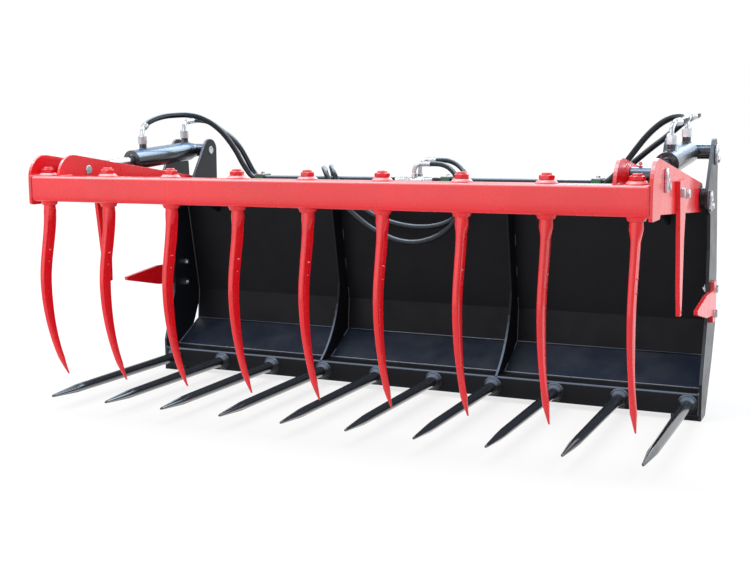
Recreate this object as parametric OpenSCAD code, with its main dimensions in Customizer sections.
// Grapple fork for a front loader: a bucket-backed tine fork closed by a hydraulic grapple.
// X runs along the tine bar, the tines point towards -Y, Z is up. The side plates stand on z = 0.

/* [Bucket] */
// Width over the side plates
overall_w = 2020; // [1700:20:2200]
// Thickness of each side plate
side_t = 10; // [8:1:12]
// Thickness of the floor and back sheets
sheet_t = 6; // [4:1:8]
// Run of the sloping floor behind the tine bar
floor_run = 145; // [120:5:180]
// Rise of the sloping floor
floor_rise = 80; // [60:5:100]
// Height of the lower back panel above the rear fold
lower_back_h = 118; // [90:2:140]
// Rearward lean of the lower back panel
lower_back_lean = 10; // [0:1:20]
// Height of the upper back panel
upper_back_h = 377; // [300:1:420]
// Forward lean of the upper back panel
upper_back_lean = 70; // [40:1:90]
// Width and height of the square tube along the top of the back
top_tube = 60; // [50:1:70]
// Wall of the top tube
top_tube_wall = 5; // [3:0.5:6]
// Thickness of the two stiffening ribs
rib_t = 8; // [6:1:12]

/* [Tine bar] */
// Height of the bar that holds the lower tines
bar_h = 72; // [70:1:80]
// Depth of the bar
bar_d = 80; // [76:1:90]
// Wall of the bar
bar_wall = 8; // [5:1:10]
// Clearance under the bar
bar_lift = 15; // [10:1:25]
// Width of the pads under the bar's ends
pad_w = 84; // [60:2:100]

/* [Lower tines] */
// Number of lower tines
lower_count = 10; // [8:1:11]
// Distance from the end of the bar to the middle of the first lower tine
lower_edge = 32.5; // [30:0.5:60]
// Length of a lower tine in front of the bar
lower_len = 700; // [500:10:800]
// Diameter of a lower tine at its base
lower_d = 38; // [32:1:40]
// Diameter of the weld-in bushes through the bar
bush_d = 54; // [50:1:56]
// Diameter of the flange on each bush
bush_flange_d = 66; // [60:1:68]
// Diameter of the threaded end of a tine
shank_d = 28; // [24:1:30]

/* [Grapple] */
// Width and height of the square tube across the grapple
beam = 80; // [70:1:90]
// Wall of the grapple tube
beam_wall = 6; // [4:1:8]
// Thickness of the arm plates
arm_t = 10; // [8:1:12]
// Gap between the two plates of one arm
arm_gap = 86; // [82:1:92]
// Distance from the arm pivot forward to the front of the grapple tube
grapple_reach = 777; // [700:1:820]
// Radius of the rounded front of each arm
arm_nose_r = 72; // [60:1:76]
// Rise of the arm's front above the tube
arm_rise = 65; // [60:1:80]

/* [Upper tines] */
// Number of upper tines
upper_count = 9; // [7:2:9]
// Distance from the outer arm to the middle of the first upper tine
upper_edge = 47; // [45:1:70]
// Depth that an upper tine reaches below the grapple tube
upper_len = 577; // [450:1:600]
// Radius of the curve of an upper tine
upper_curve_r = 620; // [560:10:800]
// Width of an upper tine across the fork
upper_w = 31; // [26:1:36]
// Depth of an upper tine along the fork
upper_d = 44; // [36:1:48]

/* [Pivots and cylinders] */
// Diameter of every pivot pin
pin_d = 30; // [25:1:34]
// Arm pivot behind the bar's face
pivot_y = 30; // [20:1:40]
// Arm pivot above the ground
pivot_z = 702; // [690:1:715]
// Cylinder base pin behind the bar's face
base_pin_y = 120; // [110:1:130]
// Cylinder base pin above the ground
base_pin_z = 841; // [830:1:850]
// Rod pin in front of the bar's face
rod_pin_y = -580; // [-590:1:-560]
// Rod pin above the ground
rod_pin_z = 792; // [788:1:800]
// Outside diameter of the cylinder barrel
barrel_d = 70; // [64:1:74]
// Wall of the cylinder barrel
barrel_wall = 5; // [4:0.5:7]
// Length of the cylinder barrel
barrel_len = 340; // [330:1:360]
// Diameter of the chromed piston rod
rod_d = 30; // [25:1:34]
// Outside diameter of the cross tubes at both ends of a cylinder
eye_d = 48; // [44:1:50]

/* [Hoses and hitch] */
// Outside diameter of the cylinder hoses
hose_d = 20; // [16:1:20]
// Outside diameter of the supply hoses
supply_d = 18; // [14:1:18]
// Thickness of the hitch plates
hitch_t = 20; // [15:1:25]
// Distance between the middles of the two hitch plates
hitch_span = 920; // [900:2:960]
// Diameter of the lower hitch eyes
hitch_eye_d = 36; // [30:1:38]
// Diameter of the loader's bar that the upper hooks take
hitch_bar_d = 40; // [36:1:44]

/* [Hidden] */
$fn = 48;
// Overrun of every cut
over = 2;
// Running clearance on the radius of a turning pin
run_gap = 0.05;
// Clearance on the radius of a fixed fit
seat_gap = 0.1;
// Side gap between parts that turn past each other
side_gap = 1.5;
// Gap at the end of a hose or a boss
end_gap = 0.4;

// Places that follow from the sizes
half_w = overall_w / 2;
inner_x = half_w - side_t;
bar_z = bar_lift + bar_h / 2;
bar_top = bar_lift + bar_h;
sheet_lap = sheet_t * 1.14;
fold_y = bar_d + floor_run;
fold_z = bar_top + floor_rise;
break_y = fold_y + lower_back_lean;
break_z = fold_z + lower_back_h;
back_top_y = break_y - upper_back_lean;
back_top_z = break_z + upper_back_h;
back_slope = upper_back_lean / upper_back_h;
tube_y = back_top_y - top_tube * 47 / 60;
tube_top = back_top_z + top_tube;
rib_x = inner_x / 3;
lower_pitch = 2 * (inner_x - lower_edge) / (lower_count - 1);

// Arms, seen from the side
arm_side_gap = 17;
arm_outer_x = inner_x - arm_side_gap;
arm_inner_x = arm_outer_x - 2 * arm_t - arm_gap;
beam_y = pivot_y - grapple_reach;
beam_z = pivot_z - 5 * pin_d / 30;
beam_top = beam_z + beam;
arm_inner_set = 22;
arm_foot = 11;
arm_foot_r = 9;
arm_foot_l = 110;
weld_lift = 2;
bracket_t = side_t;
bracket_gap = 11;
bracket_x = arm_inner_x - bracket_gap - bracket_t;
arm_end_r = pin_d * 1.5;
arm_boss_t = 6;
arm_boss_d = pin_d * 2;
pin_out = 4;
cyl_x = arm_outer_x - arm_t - arm_gap / 2;
cyl_angle = atan2(base_pin_z - rod_pin_z, base_pin_y - rod_pin_y);
cyl_len = norm([base_pin_z - rod_pin_z, base_pin_y - rod_pin_y]);
barrel_start = eye_d * 0.94;
barrel_end = barrel_start + barrel_len;
barrel_floor = 15;
gland_len = 45;
gland_lip = 12;
piston_len = 34;
piston_spare = 8;
eye_w = arm_gap - 2 * arm_boss_t - 2 * side_gap;

// Upper tine places
upper_pitch = 2 * (arm_outer_x - upper_edge) / (upper_count - 1);
upper_y = beam_y + beam / 2;
upper_bush_d = 46;
upper_flange_h = 7;
upper_collar_h = 10;
upper_weld_h = 5;
upper_nut_af = shank_d * 1.32;
upper_nut_h = shank_d * 0.44;
upper_stub = shank_d * 0.2;
nut_af = shank_d * 1.46;
nut_h = shank_d * 0.72;

// Side tines on the outer arms
side_tine_t = 12;
side_tine_top = beam_top - side_tine_t / 3;
side_tine_y = beam_y + 322 * beam / 80;
side_tine_drop = 382;
side_tine_w = 150;
// Outline of a side tine: shares of its width and of its drop
side_tine_shares = [[0, 0], [0.113, 0.284], [0.28, 0.783], [0.4, 1], [0.567, 1], [0.587, 0.45],
    [0.667, 0.24], [1, 0.162], [1, 0]];
side_bolt_shares = [[0.213, 0.084], [0.787, 0.105]];
bolt_d = 16;
bolt_af = 24;
bolt_head = 9;

// Side knives
knife_t = 12;
knife_z = 371;
knife_h = 72;
knife_tip = 222;
knife_root = 26;
knife_tail = 165;
knife_bolt_y = 138;
knife_bolt_z = knife_z + knife_h * 0.46;
knife_bolt_gap = 80;
// Plate part of a knife: shares of its tail and of its height
knife_plate_shares = [[0.58, -0.64], [0.64, -1], [1, -1], [1, 0.81], [0.64, 0.81], [0.58, 0.44]];

// Side plate edges below the pivot: shares of the fold's place and of the pivot's height
side_front_shares = [[0, 0], [0, 0.167], [0.289, 0.426], [0.32, 0.61], [0.329, 0.761], [0.24, 0.923]];
side_rear_shares = [[0.818, 1.128], [0.831, 1.053], [1.058, 0.664], [1.111, 0.395], [0.876, 0.238], [0.378, 0]];

// Hitch
hitch_x = hitch_span / 2;
hitch_hook_set = 80;
hitch_hook_drop = 30;
hitch_eye_set = 62;
hitch_eye_rise = 70;
hitch_rim = 26;
hitch_hook_y = back_top_y + hitch_hook_set;
hitch_hook_z = back_top_z - hitch_hook_drop;
hitch_eye_y = break_y + hitch_eye_set;
hitch_eye_z = fold_z + hitch_eye_rise;

// Clamps and hose lanes along the top tube
lane_rise = 15;
lane_set = 32;
lane_gap = 24;
lane_z = tube_top + lane_rise;
lane_y = tube_y + lane_set;
clamp_w = 32;
clamp_h = 28;
clamp_d = 64;
clamp_plate_t = 3;
clamp_bolt_af = 13;
clamp_bolt_h = 7;
left_clamp_set = 285;
middle_clamp_x = 103;
right_clamp_set = 297;
clamp_xs = [left_clamp_set - cyl_x, middle_clamp_x, cyl_x - right_clamp_set];

// Fittings: ferrules, quarter bends and swivel nuts
ferrule_len = 32;
ferrule_d = 24;
elbow_d = 15;
elbow_r = 27;
swivel_af = 27;
swivel_h = 28;
leg_h = 6;
port_boss_d = 26;
port_boss_h = 16;
port_h = barrel_d / 2 + port_boss_h;
port_rod_s = barrel_end - 60 * barrel_d / 70;
port_base_s = barrel_start + barrel_floor;
// Each port: place along the cylinder, bend of its elbow, length of its ferrule, turn outwards
half_ferrule = ferrule_len / 2;
left_ports = [[port_rod_s, 60, half_ferrule, 0], [port_base_s, 90, ferrule_len, 0]];
right_ports = [[port_rod_s, 90, ferrule_len, 14], [port_base_s, 90, ferrule_len, 14]];

// Tees where the cylinder hoses meet the supply hoses
front_tee_x = -21;
rear_tee_x = -8;
tee_xs = [front_tee_x, rear_tee_x];
tee_arm = 72;
front_tee_rise = 58;
rear_tee_rise = 70;
tee_rises = [front_tee_rise, rear_tee_rise];
tee_d = hose_d + 1;
tee_nut_af = 19;
tee_nut_h = 13;
tee_ferrule = 36;

// Middle routes of the cylinder hoses between port and clamp, chosen by hand
left_rod_route = [
    [-930, -175, 943], [-926, -153, 953], [-919, -124, 962], [-908, -90, 969], [-892, -52, 973],
    [-870, -14, 974], [-844, 21, 966], [-815, 56, 946], [-787, 86, 914], [-762, 109, 873],
    [-740, 125, 829], [-722, 133, 791], [-706, 137, 766], [-693, 138, 750.5], [-680, 138, 742],
    [-664, 138, 738]];
left_base_route = [
    [-930, 123, 953.5], [-926.5, 142, 955], [-917, 158, 954], [-902, 171, 950], [-884, 177, 942],
    [-860, 177, 928], [-832, 175, 911], [-805, 172, 896], [-779, 168, 878], [-753, 165, 852],
    [-731, 163, 822], [-713, 162, 793], [-697, 162, 767], [-681, 162, 748], [-664, 162, 738]];
right_rod_route = [
    [947, -143, 935], [952, -118, 939], [952, -86, 944], [942, -52, 949], [920, -20, 951], [892, 9, 947],
    [861, 37, 935], [829, 63, 914], [797, 88, 886], [766, 110, 852], [737, 126, 817], [711, 134, 786],
    [688, 137, 761], [669, 138, 745], [652, 138, 737.5]];
right_base_route = [
    [947, 121, 953.4], [949, 141, 955], [943, 161, 955], [931, 178, 951], [914, 190, 943], [894, 195, 930],
    [869, 194, 909], [839, 188, 883], [805, 180, 856], [770, 172, 826], [736, 166, 796], [707, 163, 770],
    [685, 162, 752], [668, 162, 741.5], [652, 162, 737.5]];

// Routes of the two supply hoses between tee and coupler, chosen by hand
supply_front_route = [
    [56, 138, 795], [82, 136, 793], [107, 131, 785], [130, 122, 770], [150, 110, 748], [163, 99, 717],
    [168, 91, 678], [163, 86, 634], [143, 84, 593], [105, 85, 557], [55, 86, 533], [0, 88, 521],
    [-62, 90, 525], [-120, 93, 543], [-175, 95, 569], [-225, 96, 602], [-270, 96, 640], [-307, 97, 684],
    [-338, 103, 729], [-366, 121, 763], [-390, 156, 776], [-406, 198, 768], [-414, 232, 738],
    [-416, 248, 690], [-416, 255, 640], [-416, 260, 590], [-416, 264, 545], [-416, 266, 515],
    [-416, 266, 500]];
supply_rear_route = [
    [70, 162, 807], [96, 161, 806], [125, 155, 798], [151, 143, 784], [172, 127, 766], [184, 113, 742],
    [189, 105, 712], [187, 103, 682], [177, 104, 650], [150, 106, 615], [108, 108, 590], [55, 108, 577],
    [-5, 108, 574], [-62, 109, 580], [-120, 110, 594], [-176, 110, 616], [-226, 109, 646],
    [-268, 108, 682], [-303, 108, 722], [-329, 118, 761], [-354, 148, 780], [-373, 188, 775],
    [-384, 223, 745], [-387, 246, 700], [-388, 254, 652], [-388, 260, 606], [-388, 262, 575],
    [-388, 262, 560]];

// Each ring of an upper tine: share of its length, then shares of its width, depth and flank groove
upper_ring_shares = [
    [0.000, 1.10, 0.77, 0.0], [0.033, 1.10, 0.77, 0.0], [0.048, 1.32, 0.90, 0.0], [0.072, 1.16, 0.96, 0.4],
    [0.105, 1.03, 1.00, 0.9], [0.220, 0.98, 1.00, 1.0], [0.330, 0.94, 0.96, 1.0], [0.440, 0.90, 0.92, 1.0],
    [0.550, 0.86, 0.86, 1.0], [0.660, 0.79, 0.74, 0.9], [0.770, 0.72, 0.60, 0.7], [0.860, 0.66, 0.50, 0.3],
    [0.890, 0.62, 0.47, 0.0], [1.000, 0.14, 0.12, 0.0]];
// Each ring of a lower tine: share of its length, share of its diameter, depth of its flutes
lower_ring_shares = [
    [0.000, 1.00, 0.00], [0.035, 1.00, 0.02], [0.080, 0.97, 0.10], [0.450, 0.90, 0.11],
    [0.780, 0.80, 0.13], [0.825, 0.78, 0.27], [0.985, 0.22, 0.26], [1.000, 0.12, 0.12]];
// Half of an upper tine's section: shares of half its width and half its depth
half_section_shares = [[0, -1], [0.62, -0.80], [1, -0.42], [0.78, 0], [1, 0.42], [0.62, 0.80]];

// Where the neck of an upper tine ends and where it bows out most, as shares of its length
neck_share = 0.043;
bow_share = 0.442;
function ease(share) =
    let (s = min(1, max(0, share)))
    s * s * (3 - 2 * s);
// Lean of an upper tine's middle line at a given drop: eased forward to the bow, then an arc back
function upper_lean(drop) =
    let (past = max(0, drop - bow_share * upper_len))
    upper_curve_r - sqrt(pow(upper_curve_r, 2) - pow(past, 2))
        - upper_d * 0.75 * ease((drop / upper_len - neck_share) / (bow_share - neck_share));

// Middle of the depth, so that the part stands centred on its origin
rear_y = max(hitch_eye_y, hitch_hook_y) + hitch_eye_d / 2 + hitch_rim;
front_y = upper_y + min([for (r = upper_ring_shares) upper_lean(r[0] * upper_len) - r[2] * upper_d / 2]);
mid_y = (rear_y + front_y) / 2;

// Points of an arc from one angle to another
function arc(c, r, from, to, steps = 8) =
    [for (i = [0 : steps]) let (a = from + (to - from) * i / steps) [c[0] + r * cos(a), c[1] + r * sin(a)]];

// Angle at which a straight edge touches two circles, on the left of the way from a to b
function tangent_angle(a, ra, b, rb) =
    let (d = b - a)
    atan2(d[1], d[0]) + acos((ra - rb) / norm(d));

// Points of a table of shares, scaled by a width and a height
function shaped(shares, w, h) = [for (p = shares) [p[0] * w, p[1] * h]];

// Triangles between rings of equal size, with a fan at each end
function ring_faces(rings, sides) = concat(
    [for (i = [1 : sides - 2]) [0, i, i + 1]],
    [for (r = [0 : rings - 2], s = [0 : sides - 1], half = [0, 1])
        let (a = r * sides + s, b = r * sides + (s + 1) % sides)
        half == 0 ? [a, a + sides, b + sides] : [a, b + sides, b]],
    [for (i = [1 : sides - 2]) let (k = (rings - 1) * sides) [k, k + i + 1, k + i]]);

// A tube of given diameter swept along a route, one ring at each point
function unit(v) = v / norm(v);
function aim(route, i) =
    unit(route[min(i + 1, len(route) - 1)] - route[max(i - 1, 0)]);
function carried(n, t) = unit(n - (n * t) * t);
module swept_tube(route, d, sides = 10) {
    last = len(route) - 1;
    normals = [for (i = 0, n = carried([0, 0.2, 1], aim(route, 0)); i <= last;
        i = i + 1, n = i <= last ? carried(n, aim(route, i)) : n) n];
    points = [for (i = [0 : last], s = [0 : sides - 1])
        let (t = aim(route, i), n = normals[i], b = cross(t, n), a = 360 * s / sides)
        route[i] + d / 2 * (cos(a) * n + sin(a) * b)];
    polyhedron(points, ring_faces(last + 1, sides), convexity = 6);
}

// A route whose two ends are led to given points, fading out along its way
function led(route, start, end) =
    let (n = len(route) - 1, first = start - route[0], last = end - route[n])
    [for (i = [0 : n]) let (e = ease(i / n)) route[i] + (1 - e) * first + e * last];

// Everything stands centred over the origin
module placed() { translate([0, -mid_y, 0]) children(); }

// A flat plate drawn in the side view, from x to x + t
module side_plate_of(x, t) {
    translate([x, 0, 0]) rotate([90, 0, 90]) linear_extrude(t) children();
}

// The same plate on the right (side = 1) or the left (side = -1)
module sided(side) {
    if (side > 0) children();
    else mirror([1, 0, 0]) children();
}

// A round bar or bore along X from x to x + w
module x_round(x, y, z, d, w) {
    translate([x, y, z]) rotate([0, 90, 0]) cylinder(d = d, h = w);
}

module hex(af, h) { cylinder(d = af / cos(30), h = h, $fn = 6); }

// Tine bar, pads, sheets and ribs
module tine_bar() color("#15181d") placed() {
    difference() {
        translate([-inner_x, 0, bar_lift]) cube([2 * inner_x, bar_d, bar_h]);
        translate([-inner_x - over, bar_wall, bar_lift + bar_wall])
            cube([2 * (inner_x + over), bar_d - 2 * bar_wall, bar_h - 2 * bar_wall]);
        lower_places() translate([0, bar_d + over, 0]) rotate([90, 0, 0])
            cylinder(d = bush_d + 2 * seat_gap, h = bar_d + 2 * over);
    }
    for (side = [-1, 1]) sided(side)
        translate([inner_x - pad_w, 0, 0]) cube([pad_w, bar_d, bar_lift]);
}

module lower_places() {
    for (i = [0 : lower_count - 1]) lower_place(i) children();
}

module lower_place(i) {
    translate([(i - (lower_count - 1) / 2) * lower_pitch, 0, bar_z]) children();
}

// Front face of the back at a given height
function back_y(z) = z < break_z
    ? fold_y + (z - fold_z) / lower_back_h * lower_back_lean
    : break_y - (z - break_z) * back_slope;

module floor_sheet() color("#1a2029") placed() side_plate_of(-inner_x, 2 * inner_x)
    polygon([[bar_d, bar_top], [fold_y, fold_z], [fold_y, fold_z - sheet_lap], [bar_d, bar_top - sheet_lap]]);

module back_sheet() color("#15181d") placed() side_plate_of(-inner_x, 2 * inner_x)
    polygon([[fold_y, fold_z - sheet_lap], [fold_y, fold_z], [break_y, break_z],
        [back_top_y, back_top_z], [back_top_y + sheet_t, back_top_z],
        [break_y + sheet_t, break_z], [fold_y + sheet_t, fold_z - sheet_lap]]);

module top_tube_profile() color("#15181d") placed() translate([-inner_x, tube_y, back_top_z]) difference() {
    cube([2 * inner_x, top_tube, top_tube]);
    translate([-over, top_tube_wall, top_tube_wall])
        cube([2 * inner_x + 2 * over, top_tube - 2 * top_tube_wall, top_tube - 2 * top_tube_wall]);
}

// Front edge of a rib: an arc off the tine bar, then a line parallel to the back
rib_arc_r = 348;
rib_arc_y = -190;
rib_arc_z = 378;
rib_depth = 62;
module ribs() color("#15181d") placed() for (side = [-1, 1]) sided(side)
    side_plate_of(rib_x - rib_t / 2, rib_t)
        polygon(concat(
            arc([rib_arc_y, rib_arc_z], rib_arc_r, -56.7, -4, 12),
            [[back_y(back_top_z) - rib_depth, back_top_z - rib_depth / 2], [tube_y + sheet_t, back_top_z],
                [back_top_y, back_top_z], [break_y, break_z], [fold_y, fold_z], [bar_d, bar_top]]));

// Outline shared by a side plate's head and a bracket: rounds about both pins
pivot_c = [pivot_y, pivot_z];
base_c = [base_pin_y, base_pin_z];
head_r = pin_d * 1.4;
pivot_r = pin_d * 1.53;
head_angle = tangent_angle(pivot_c, pivot_r, base_c, head_r);
collar_d = pin_d * 2;

module pin_holes() {
    translate(pivot_c) circle(d = pin_d + 2 * seat_gap);
    translate(base_c) circle(d = pin_d + 2 * seat_gap);
}

// A spacer ring round the arm pivot, from x to x + w
module pivot_collar(x, w) {
    difference() {
        x_round(x, pivot_y, pivot_z, collar_d, w);
        x_round(x - over, pivot_y, pivot_z, pin_d + 2 * seat_gap, w + 2 * over);
    }
}

module side_plate(side) color("#1b1d21") placed() sided(side) {
    side_plate_of(inner_x, side_t) difference() {
        polygon(concat(
            shaped(side_front_shares, fold_y, pivot_z),
            arc(pivot_c, pivot_r, 225, head_angle, 8),
            arc(base_c, head_r, head_angle, 10, 12),
            shaped(side_rear_shares, fold_y, pivot_z)));
        pin_holes();
        knife_bolt_places() circle(d = bolt_d + 2 * seat_gap);
    }
    pivot_collar(arm_outer_x + end_gap, arm_side_gap - end_gap);
}

module bracket(side) color("#15181d") placed() sided(side) {
    side_plate_of(bracket_x, bracket_t) difference() {
        polygon(concat(
            arc(pivot_c, pivot_r, 250, head_angle, 8),
            arc(base_c, head_r, head_angle, 10, 12),
            [[tube_y + top_tube * 0.7, tube_top], [tube_y, tube_top], [tube_y, back_top_z],
                [back_top_y, back_top_z], [back_y(back_top_z - top_tube), back_top_z - top_tube]]));
        pin_holes();
    }
    pivot_collar(bracket_x + bracket_t, bracket_gap - end_gap);
}

// Lower tines with their bushes and nuts: the tine's taper draws tight in the bush
seat_d = 42;
seat_small_d = shank_d * 1.15;
seat_len = bar_d * 0.75;
bush_flange_t = 6;
module lower_tine_bushes() color("#15181d") placed() lower_places() rotate([90, 0, 0]) difference() {
    union() {
        translate([0, 0, -bar_d]) cylinder(d = bush_d, h = bar_d);
        cylinder(d1 = bush_flange_d, d2 = bush_flange_d * 0.88, h = bush_flange_t);
    }
    translate([0, 0, -bar_d - over]) cylinder(d = shank_d + 2 * seat_gap, h = bar_d + 2 * over);
    translate([0, 0, -seat_len])
        cylinder(d1 = seat_small_d + 2 * seat_gap, d2 = seat_d + 2 * seat_gap, h = seat_len);
    translate([0, 0, -over / 2])
        cylinder(d1 = seat_d + 2 * seat_gap, d2 = seat_d * 1.3, h = bush_flange_t + 1.5 * over);
}

module lower_tine_nuts() color("#8d9095") placed() lower_places()
    translate([0, bar_d, 0]) rotate([-90, 0, 0]) difference() {
        hex(nut_af, nut_h);
        translate([0, 0, -over]) cylinder(d = shank_d + 2 * seat_gap, h = nut_h + 2 * over);
    }

function fluted_ring(y, d, flute, sides = 16) =
    [for (s = [0 : sides - 1]) let (a = 360 * s / sides, r = d / 2 * (1 - flute * (1 - cos(4 * a)) / 2))
        [-r * sin(a), y, r * cos(a)]];

module lower_tine(i) color("#1d2025") placed() lower_place(i) {
    rotate([-90, 0, 0]) {
        cylinder(d1 = seat_d, d2 = seat_small_d, h = seat_len);
        cylinder(d = shank_d, h = bar_d + nut_h * 1.3);
    }
    polyhedron([for (r = lower_ring_shares, p = fluted_ring(-r[0] * lower_len, r[1] * lower_d, r[2])) p],
        ring_faces(len(lower_ring_shares), 16), convexity = 4);
}

// Side knives, bolted outside the side plates
module knife_bolt_places() {
    for (k = [0, 1]) translate([knife_bolt_y, knife_bolt_z - k * knife_bolt_gap]) children();
}

module knife(side) color("#c8141c") placed() sided(side)
    side_plate_of(half_w, knife_t) difference() {
        translate([0, knife_z]) polygon(concat(
            [[-knife_tip, knife_h * 0.21], [-knife_tip + knife_h * 0.08, knife_h * 0.03],
                [-knife_root, -knife_h / 2]],
            shaped(knife_plate_shares, knife_tail, knife_h),
            [[-knife_root, knife_h / 2]]));
        knife_bolt_places() circle(d = bolt_d + 2 * seat_gap);
    }

// A bolt along X whose head sits on the face x, with a nut at the far end of the grip
module x_bolt(x, y, z, grip) {
    translate([x, y, z]) rotate([0, 90, 0]) hex(bolt_af, bolt_head);
    x_round(x - grip - bolt_head * 1.9, y, z, bolt_d, grip + bolt_head * 1.9);
    difference() {
        translate([x - grip, y, z]) rotate([0, -90, 0]) hex(bolt_af, bolt_head * 1.4);
        x_round(x - grip - bolt_head * 2, y, z, bolt_d + 2 * seat_gap, bolt_head * 2 + over);
    }
}

module knife_bolts() color("#b9bcc0") placed() for (side = [-1, 1], k = [0, 1]) sided(side)
    x_bolt(half_w + knife_t, knife_bolt_y, knife_bolt_z - k * knife_bolt_gap, knife_t + side_t);

// Pins with their retaining flags, held by the side plates and the brackets
flag_w = 34;
flag_t = 8;
flag_up = 5;
flag_down = 25;
flag_bolt_d = 12;
flag_bolt_af = 18;
flag_bolt_h = 7;
module flag(x, y, z) {
    side_plate_of(x, flag_t) difference() {
        translate([y, z]) union() {
            translate([0, flag_up]) circle(d = flag_w);
            translate([0, -flag_down]) circle(d = flag_w);
            translate([-flag_w / 2, -flag_down]) square([flag_w, flag_up + flag_down]);
        }
        translate([y, z - flag_down]) circle(d = flag_bolt_d + 2 * seat_gap);
    }
    translate([x + flag_t, y, z - flag_down]) rotate([0, 90, 0]) hex(flag_bolt_af, flag_bolt_h);
    x_round(x, y, z - flag_down, flag_bolt_d, flag_t);
}

module pins() color("#b9bcc0") placed() for (side = [-1, 1], c = [pivot_c, base_c]) sided(side) {
    x_round(bracket_x - pin_out, c[0], c[1], pin_d, half_w - bracket_x + pin_out);
    flag(half_w, c[0], c[1]);
}

// Hitch plates behind the back
hook_c = [hitch_hook_y, hitch_hook_z];
eye_c = [hitch_eye_y, hitch_eye_z];
hitch_r = hitch_eye_d / 2 + hitch_rim;
hook_d = hitch_bar_d * 1.05;
module hitch(side) color("#15181d") placed() sided(side)
    side_plate_of(hitch_x - hitch_t / 2, hitch_t) difference() {
        polygon(concat(
            [[back_top_y + sheet_t, back_top_z], [break_y + sheet_t, break_z],
                [fold_y + sheet_t, fold_z - sheet_lap]],
            arc(eye_c, hitch_r, 250, 370, 8),
            arc(hook_c, hitch_r, -30, 60, 6),
            [[hitch_hook_y + hitch_bar_d / 2, hitch_hook_z + hitch_r],
                [hitch_hook_y - hitch_bar_d / 2, hitch_hook_z + hitch_r],
                [back_top_y + top_tube * 0.22, back_top_z]]));
        translate(eye_c) circle(d = hitch_eye_d);
        translate(hook_c) circle(d = hook_d);
        translate([hitch_hook_y - hook_d / 2, hitch_hook_z]) square([hook_d, hitch_r + over]);
    }

// Twin hose clamps on the top tube
module hose_clamps() color("#1d6b3c") placed() for (x = clamp_xs) difference() {
    translate([x - clamp_w / 2, lane_y - clamp_d / 2, tube_top]) cube([clamp_w, clamp_d, clamp_h]);
    for (k = [-0.5, 0.5])
        x_round(x - clamp_w / 2 - over, lane_y + k * lane_gap, lane_z, hose_d + 2 * seat_gap,
            clamp_w + 2 * over);
}

module clamp_plates() color("#c2c5c9") placed() for (x = clamp_xs) {
    translate([x - clamp_w / 2, lane_y - clamp_d / 2, tube_top + clamp_h])
        cube([clamp_w, clamp_d, clamp_plate_t]);
    translate([x, lane_y, tube_top + clamp_h + clamp_plate_t]) hex(clamp_bolt_af, clamp_bolt_h);
}

// A bend from +Z towards +Y on a leg, ending in a ferrule
module bend_with_ferrule(leg, bend, ferrule, d) {
    cylinder(d = elbow_d, h = leg);
    translate([0, elbow_r, leg]) rotate([90, 0, -90])
        rotate_extrude(angle = bend) translate([elbow_r, 0]) circle(d = elbow_d);
    translate([0, elbow_r * (1 - cos(bend)), leg + elbow_r * sin(bend)]) rotate([-bend, 0, 0])
        translate([0, 0, -elbow_d / 6]) cylinder(d = d, h = ferrule + elbow_d / 6);
}

// Place of a point beyond the ferrule, in the frame of the fitting
function ferrule_way(leg, bend, ferrule, past) =
    [0, elbow_r * (1 - cos(bend)) + (ferrule + past) * sin(bend),
        leg + elbow_r * sin(bend) + (ferrule + past) * cos(bend)];

// Swivel fittings on the cylinder ports
module ports(side) color("#c2c5c9") placed() sided(side)
    for (port = side > 0 ? right_ports : left_ports)
        translate([cyl_x, base_pin_y, base_pin_z]) rotate([cyl_angle, 0, 0])
            translate([0, -port[0], port_h]) rotate([0, 0, -port[3]]) {
                hex(swivel_af, swivel_h);
                bend_with_ferrule(swivel_h + leg_h, port[1], port[2], ferrule_d);
            }

// A point at a distance past the mouth of a port's ferrule
function port_mouth(side, port, past) =
    let (way = ferrule_way(swivel_h + leg_h, port[1], port[2], past),
        y = way[1] * cos(port[3]) - port[0],
        z = way[2] + port_h)
    [side * (cyl_x + way[1] * sin(port[3])),
        base_pin_y + y * cos(cyl_angle) - z * sin(cyl_angle),
        base_pin_z + y * sin(cyl_angle) + z * cos(cyl_angle)];

module tee_fittings() color("#c2c5c9") placed() for (k = [0, 1])
    translate([tee_xs[k], lane_y + (k - 0.5) * lane_gap, lane_z]) {
        rotate([0, 90, 0]) {
            translate([0, 0, -tee_arm]) cylinder(d = hose_d + 2, h = ferrule_len);
            translate([0, 0, tee_arm - ferrule_len]) cylinder(d = hose_d + 2, h = ferrule_len);
            translate([0, 0, ferrule_len - tee_arm]) cylinder(d = tee_d, h = 2 * (tee_arm - ferrule_len));
        }
        translate([0, 0, tee_d / 2]) hex(tee_nut_af, tee_nut_h);
        rotate([0, 0, -90]) bend_with_ferrule(tee_rises[k] - elbow_r, 90, tee_ferrule, supply_d + 2);
    }

// A point at a distance past the mouth of a tee's ferrule
function tee_mouth(k, past) =
    [tee_xs[k] + elbow_r + tee_ferrule + past, lane_y + (k - 0.5) * lane_gap, lane_z + tee_rises[k]];

// A cylinder hose from its port over the clamp to its tee
module cylinder_hose(side, port, lane, route) {
    y = lane_y + (lane - 0.5) * lane_gap;
    clamp_x = side > 0 ? clamp_xs[2] : clamp_xs[0];
    swept_tube(concat(
        [port_mouth(side, port, end_gap)],
        led(route, port_mouth(side, port, hose_d * 0.6), [clamp_x + side * clamp_w * 0.6, y, lane_z]),
        [[tee_xs[lane] + side * (tee_arm + end_gap), y, lane_z]]), hose_d);
}

module hoses_left() color("#1c1f24") placed() {
    cylinder_hose(-1, left_ports[0], 0, left_rod_route);
    cylinder_hose(-1, left_ports[1], 1, left_base_route);
}

module hoses_right() color("#1c1f24") placed() {
    cylinder_hose(1, right_ports[0], 0, right_rod_route);
    cylinder_hose(1, right_ports[1], 1, right_base_route);
}

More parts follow.
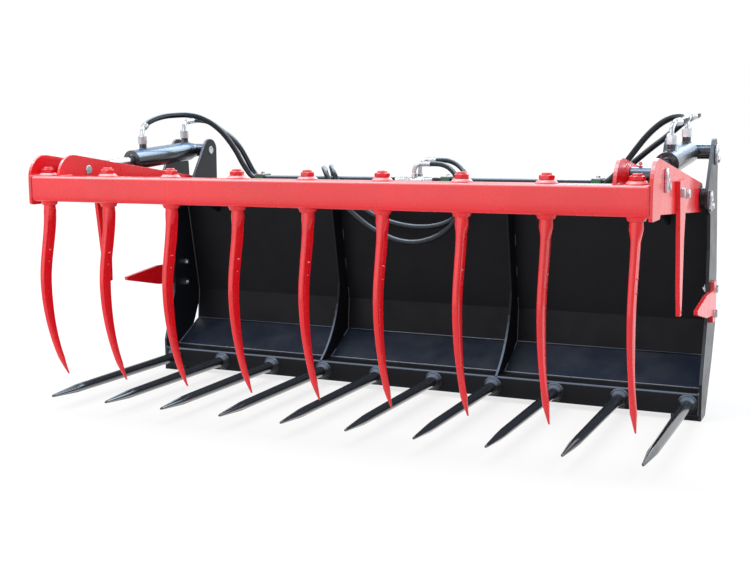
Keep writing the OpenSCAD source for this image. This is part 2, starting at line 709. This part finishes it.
// A supply hose from its tee over the back to its coupler
module supply_hose(k, route) color("#1c1f24") placed() swept_tube(concat(
    [tee_mouth(k, end_gap)], led(route, tee_mouth(k, supply_d * 0.8), route[len(route) - 1])), supply_d, 8);

// Quick couplers hanging on the supply hoses
coupler_len = 72;
coupler_d = 24;
module supply_couplers() color("#c2c5c9") placed()
    for (route = [supply_front_route, supply_rear_route])
        translate(route[len(route) - 1] - [0, 0, end_gap]) rotate([180, 0, 0]) {
            cylinder(d = coupler_d * 0.95, h = coupler_len * 0.39);
            translate([0, 0, coupler_len * 0.39]) hex(swivel_af, coupler_len * 0.25);
            translate([0, 0, coupler_len * 0.64]) cylinder(d = coupler_d, h = coupler_len * 0.19);
            translate([0, 0, coupler_len * 0.83])
                cylinder(d1 = coupler_d * 0.83, d2 = coupler_d * 0.67, h = coupler_len * 0.17);
        }

// Grapple: tube, arms, side tines, upper tines
module grapple_beam() color("#d9161f") placed() difference() {
    translate([-arm_outer_x + arm_t, beam_y, beam_z]) cube([2 * (arm_outer_x - arm_t), beam, beam]);
    translate([-arm_outer_x, beam_y + beam_wall, beam_z + beam_wall])
        cube([2 * arm_outer_x, beam - 2 * beam_wall, beam - 2 * beam_wall]);
    upper_places() translate([0, 0, -over]) cylinder(d = upper_bush_d + 2 * seat_gap, h = beam + 2 * over);
}

module upper_places() {
    for (i = [0 : upper_count - 1]) upper_place(i) children();
}

module upper_place(i) {
    translate([(i - (upper_count - 1) / 2) * upper_pitch, upper_y, beam_z]) children();
}

// Rounded nose, straight top edge and rounded heel of an arm
function arm_top(front, floor_z) =
    let (nose = [front + arm_nose_r, beam_top + arm_rise - arm_nose_r],
        from = 180 - asin(max(0, floor_z - nose[1]) / arm_nose_r),
        slant = tangent_angle(nose, arm_nose_r, pivot_c, arm_end_r))
    concat(arc(nose, arm_nose_r, from, slant, 10), arc(pivot_c, arm_end_r, slant, -94, 14));

module arm_outer(side) color("#d9161f") placed() sided(side) difference() {
    union() {
        side_plate_of(arm_outer_x - arm_t, arm_t)
            polygon(concat(
                arc([beam_y + arm_foot_r, beam_z - arm_foot + arm_foot_r], arm_foot_r, 270, 180, 4),
                arm_top(beam_y, beam_z),
                [[beam_y + arm_foot_l, beam_z], [beam_y + arm_foot_l - arm_foot, beam_z - arm_foot]]));
        x_round(arm_outer_x - arm_t - arm_boss_t, rod_pin_y, rod_pin_z, arm_boss_d, arm_t);
    }
    arm_bores(arm_outer_x - arm_t - arm_boss_t);
    for (p = side_bolts_at())
        x_round(arm_outer_x - arm_t - over, p[0], p[1], bolt_d + 2 * seat_gap, arm_t + 2 * over);
}

module arm_inner(side) color("#d9161f") placed() sided(side) difference() {
    union() {
        side_plate_of(arm_inner_x, arm_t)
            polygon(concat(arm_top(beam_y + arm_inner_set, beam_top),
                [[beam_y + beam, beam_z + weld_lift], [beam_y + beam, beam_top]]));
        x_round(arm_inner_x + arm_boss_t, rod_pin_y, rod_pin_z, arm_boss_d, arm_t);
        x_round(arm_inner_x + arm_boss_t, pivot_y, pivot_z, pin_d * 1.7, arm_gap + arm_t - arm_boss_t);
    }
    arm_bores(arm_inner_x);
}

// Bores for the pivot and the rod pin, through whatever lies between x and the far side
module arm_bores(x) {
    x_round(x - over, pivot_y, pivot_z, pin_d + 2 * run_gap, arm_gap + 2 * arm_t + 2 * over);
    x_round(x - over, rod_pin_y, rod_pin_z, pin_d + 2 * seat_gap, arm_gap + 2 * arm_t + 2 * over);
}

function side_bolts_at() = [for (p = side_bolt_shares)
    [side_tine_y + p[0] * side_tine_w, side_tine_top - p[1] * side_tine_drop]];

module side_tine(side) color("#d9161f") placed() sided(side)
    side_plate_of(arm_outer_x, side_tine_t) difference() {
        translate([side_tine_y, side_tine_top]) polygon(shaped(side_tine_shares, side_tine_w, -side_tine_drop));
        for (p = side_bolts_at()) translate(p) circle(d = bolt_d + 2 * seat_gap);
    }

module side_tine_bolts() color("#b9bcc0") placed() for (side = [-1, 1], p = side_bolts_at()) sided(side)
    x_bolt(arm_outer_x + side_tine_t, p[0], p[1], side_tine_t + arm_t);

// Bushes of the upper tines, with the weld round each collar
module upper_tine_bushes() color("#c8141c") placed() upper_places() difference() {
    union() {
        cylinder(d = upper_bush_d, h = beam + upper_collar_h);
        translate([0, 0, beam])
            cylinder(d1 = upper_bush_d + 2 * upper_weld_h, d2 = upper_bush_d, h = upper_weld_h);
        translate([0, 0, -upper_flange_h])
            cylinder(d1 = upper_bush_d, d2 = upper_bush_d + 2 * upper_weld_h, h = upper_flange_h);
    }
    translate([0, 0, -upper_flange_h - over])
        cylinder(d = shank_d + 2 * seat_gap, h = beam + upper_collar_h + upper_flange_h + 2 * over);
}

module upper_tine_nuts() color("#c8141c") placed() upper_places()
    translate([0, 0, beam + upper_collar_h]) difference() {
        hex(upper_nut_af, upper_nut_h);
        translate([0, 0, -over]) cylinder(d = shank_d + 2 * seat_gap, h = upper_nut_h + 2 * over);
    }

function upper_section(ring) =
    let (w = ring[1] * upper_w / 2, d = ring[2] * upper_d / 2,
        half = [for (p = half_section_shares)
            [p[0] == 0 ? 0 : -w * (p[1] == 0 ? 1 - (1 - p[0]) * ring[3] : p[0]), d * p[1]]])
    concat(half, [for (p = half) [-p[0], -p[1]]]);

module upper_tine(i) color("#d9161f") placed() upper_place(i) {
    translate([0, 0, -upper_flange_h - over])
        cylinder(d = shank_d, h = beam + upper_collar_h + upper_flange_h + over + upper_nut_h + upper_stub);
    polyhedron([for (r = upper_ring_shares, p = upper_section(r))
            [p[0], p[1] + upper_lean(r[0] * upper_len),
                -upper_flange_h - r[0] * (upper_len - upper_flange_h)]],
        ring_faces(len(upper_ring_shares), 12), convexity = 4);
}

// Ends of the rod pins, held by the arm plates
module rod_pins() color("#b9bcc0") placed() for (side = [-1, 1]) sided(side) {
    x_round(arm_inner_x - pin_out, rod_pin_y, rod_pin_z, pin_d, arm_t + arm_boss_t + pin_out);
    x_round(arm_outer_x - arm_t - arm_boss_t, rod_pin_y, rod_pin_z, pin_d, arm_t + arm_boss_t);
    flag(arm_outer_x, rod_pin_y, rod_pin_z);
}

// Cylinders: local +Z runs from the base pin to the rod pin
module along_cylinder(side) {
    placed() sided(side) translate([cyl_x, base_pin_y, base_pin_z]) rotate([90 + cyl_angle, 0, 0]) children();
}

// Barrel with its base tube and port bosses, and the gland screwed into its mouth
module barrel(side) {
    bore = barrel_d - 2 * barrel_wall;
    color("#3a4048") along_cylinder(side) difference() {
        union() {
            translate([0, 0, barrel_start]) cylinder(d = barrel_d, h = barrel_len);
            translate([0, 0, eye_d * 0.3]) cylinder(d = barrel_d * 0.8, h = barrel_start - eye_d * 0.3);
            cross_tube(eye_d, inner_x - bracket_x - bracket_t - 2 * side_gap);
            for (s = [port_rod_s, port_base_s]) translate([0, 0, s]) rotate([-90, 0, 0])
                cylinder(d = port_boss_d, h = port_h);
        }
        translate([0, 0, barrel_start + barrel_floor]) cylinder(d = bore, h = barrel_len);
        cross_tube(pin_d + 2 * run_gap, inner_x - bracket_x);
    }
    color("#15181d") along_cylinder(side) difference() {
        union() {
            translate([0, 0, barrel_end - gland_len])
                cylinder(d = bore - 2 * seat_gap, h = gland_len + gland_lip);
            translate([0, 0, barrel_end + seat_gap]) cylinder(d = barrel_d, h = gland_lip - seat_gap);
        }
        translate([0, 0, barrel_end - gland_len - over])
            cylinder(d = rod_d + 2 * run_gap, h = gland_len + gland_lip + 2 * over);
    }
}

// A tube across the cylinder, centred between the bracket and the side plate
module cross_tube(d, w) {
    translate([(inner_x + bracket_x + bracket_t) / 2 - cyl_x - w / 2, 0, 0])
        rotate([0, 90, 0]) cylinder(d = d, h = w);
}

// Piston rod with its piston, up to the eye
module rod(side) {
    color("#d8dadd") along_cylinder(side) difference() {
        union() {
            translate([0, 0, barrel_end - gland_len - piston_spare])
                cylinder(d = rod_d, h = cyl_len - barrel_end + gland_len + piston_spare);
            translate([0, 0, barrel_end - gland_len - piston_spare - piston_len])
                cylinder(d = barrel_d - 2 * barrel_wall - 2 * run_gap, h = piston_len);
        }
        translate([-eye_w, 0, cyl_len]) rotate([0, 90, 0]) cylinder(d = eye_d + 2 * seat_gap, h = 2 * eye_w);
    }
}

// Eye tube at the end of a rod, with the middle of the rod pin in it
module rod_eye(side) {
    color("#1b1d21") along_cylinder(side) translate([-eye_w / 2, 0, cyl_len]) rotate([0, 90, 0])
        difference() {
            cylinder(d = eye_d, h = eye_w);
            translate([0, 0, -over]) cylinder(d = pin_d + 2 * seat_gap, h = eye_w + 2 * over);
        }
    color("#b9bcc0") along_cylinder(side)
        translate([-eye_w / 2, 0, cyl_len]) rotate([0, 90, 0]) cylinder(d = pin_d, h = eye_w);
}

tine_bar();
floor_sheet();
back_sheet();
top_tube_profile();  // top_tube
ribs();
side_plate(-1);  // side_plate_left
side_plate(1);  // side_plate_right
bracket(-1);  // bracket_left
bracket(1);  // bracket_right
lower_tine_bushes();
lower_tine_nuts();
lower_tine(0);  // lower_tine_01
lower_tine(1);  // lower_tine_02
lower_tine(2);  // lower_tine_03
lower_tine(3);  // lower_tine_04
lower_tine(4);  // lower_tine_05
lower_tine(5);  // lower_tine_06
lower_tine(6);  // lower_tine_07
lower_tine(7);  // lower_tine_08
lower_tine(8);  // lower_tine_09
lower_tine(9);  // lower_tine_10
knife(-1);  // knife_left
knife(1);  // knife_right
knife_bolts();
pins();  // frame_pins
hitch(-1);  // hitch_left
hitch(1);  // hitch_right
hose_clamps();
clamp_plates();
tee_fittings();
hoses_left();
hoses_right();
supply_hose(0, supply_front_route);  // supply_hose_front
supply_hose(1, supply_rear_route);  // supply_hose_rear
supply_couplers();
grapple_beam();
arm_outer(-1);  // arm_outer_left
arm_outer(1);  // arm_outer_right
arm_inner(-1);  // arm_inner_left
arm_inner(1);  // arm_inner_right
side_tine(-1);  // side_tine_left
side_tine(1);  // side_tine_right
side_tine_bolts();
upper_tine_bushes();
upper_tine_nuts();
for (i = [0 : 2]) upper_tine(i);  // upper_tines_left
for (i = [3 : 5]) upper_tine(i);  // upper_tines_middle
for (i = [6 : 8]) upper_tine(i);  // upper_tines_right
rod_pins();
barrel(-1);  // barrel_left
barrel(1);  // barrel_right
rod(-1);  // rod_left
rod(1);  // rod_right
rod_eye(-1);  // rod_eye_left
rod_eye(1);  // rod_eye_right
ports(-1);  // port_fittings_left
ports(1);  // port_fittings_right
